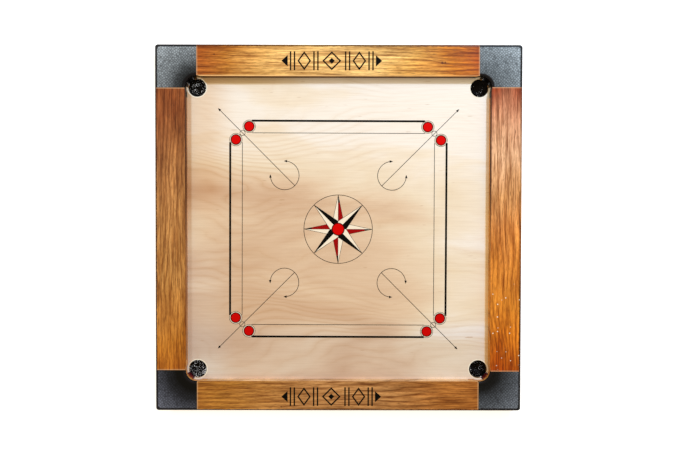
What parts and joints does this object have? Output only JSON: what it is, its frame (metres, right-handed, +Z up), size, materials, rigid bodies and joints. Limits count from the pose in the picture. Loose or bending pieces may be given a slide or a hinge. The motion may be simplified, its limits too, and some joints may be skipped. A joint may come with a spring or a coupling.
{
  "type": "carrom board",
  "caption": "Square wooden tabletop game board: hardwood rails round a plywood field with printed lines, black corner caps and a netted pocket in each corner.",
  "frame": {"origin": "middle of the board's underside", "axes": "+X to the right, +Y to the back rail, +Z up out of the playing surface"},
  "size_m": [0.89, 0.89, 0.05],
  "materials": {
    "surface_plywood": "birch-faced plywood, satin lacquer",
    "print_black": "screen-printed black ink under lacquer",
    "print_red": "screen-printed red ink under lacquer",
    "rail_wood": "oiled and lacquered open-grained hardwood",
    "block_wood": "stained hardwood",
    "batten_wood": "planed softwood",
    "corner_cap": "black with a fine pebble grain",
    "net_cord": "knotted black nylon cord",
    "net_ring": "black moulded plastic",
    "tack_steel": "plain steel",
    "cap_screw": "blackened steel",
    "joint_screw": "zinc plated steel"
  },
  "bodies": {
    "root": {"playing_surface": "surface_plywood", "rail_back": "rail_wood", "rail_front": "rail_wood", "rail_left": "rail_wood", "rail_right": "rail_wood", "corner_cap_back_left": "corner_cap", "pocket_block_back_left": "block_wood", "pocket_net_back_left": "net_cord", "net_ring_back_left": "net_ring", "net_tack_back_left_1": "tack_steel", "net_tack_back_left_2": "tack_steel", "net_tack_back_left_3": "tack_steel", "cap_screw_back_left_side": "cap_screw", "cap_screw_back_left_end": "cap_screw", "lap_screw_back_left_1": "joint_screw", "lap_screw_back_left_2": "joint_screw", "corner_cap_back_right": "corner_cap", "pocket_block_back_right": "block_wood", "pocket_net_back_right": "net_cord", "net_ring_back_right": "net_ring", "net_tack_back_right_1": "tack_steel", "net_tack_back_right_2": "tack_steel", "net_tack_back_right_3": "tack_steel", "cap_screw_back_right_side": "cap_screw", "cap_screw_back_right_end": "cap_screw", "lap_screw_back_right_1": "joint_screw", "lap_screw_back_right_2": "joint_screw", "corner_cap_front_left": "corner_cap", "pocket_block_front_left": "block_wood", "pocket_net_front_left": "net_cord", "net_ring_front_left": "net_ring", "net_tack_front_left_1": "tack_steel", "net_tack_front_left_2": "tack_steel", "net_tack_front_left_3": "tack_steel", "cap_screw_front_left_side": "cap_screw", "cap_screw_front_left_end": "cap_screw", "lap_screw_front_left_1": "joint_screw", "lap_screw_front_left_2": "joint_screw", "corner_cap_front_right": "corner_cap", "pocket_block_front_right": "block_wood", "pocket_net_front_right": "net_cord", "net_ring_front_right": "net_ring", "net_tack_front_right_1": "tack_steel", "net_tack_front_right_2": "tack_steel", "net_tack_front_right_3": "tack_steel", "cap_screw_front_right_side": "cap_screw", "cap_screw_front_right_end": "cap_screw", "lap_screw_front_right_1": "joint_screw", "lap_screw_front_right_2": "joint_screw", "batten_crosswise": "batten_wood", "batten_lengthwise": "batten_wood", "batten_screw_left": "joint_screw", "batten_screw_right": "joint_screw", "batten_screw_front": "joint_screw", "batten_screw_back": "joint_screw"}
  },
  "joints": []
}
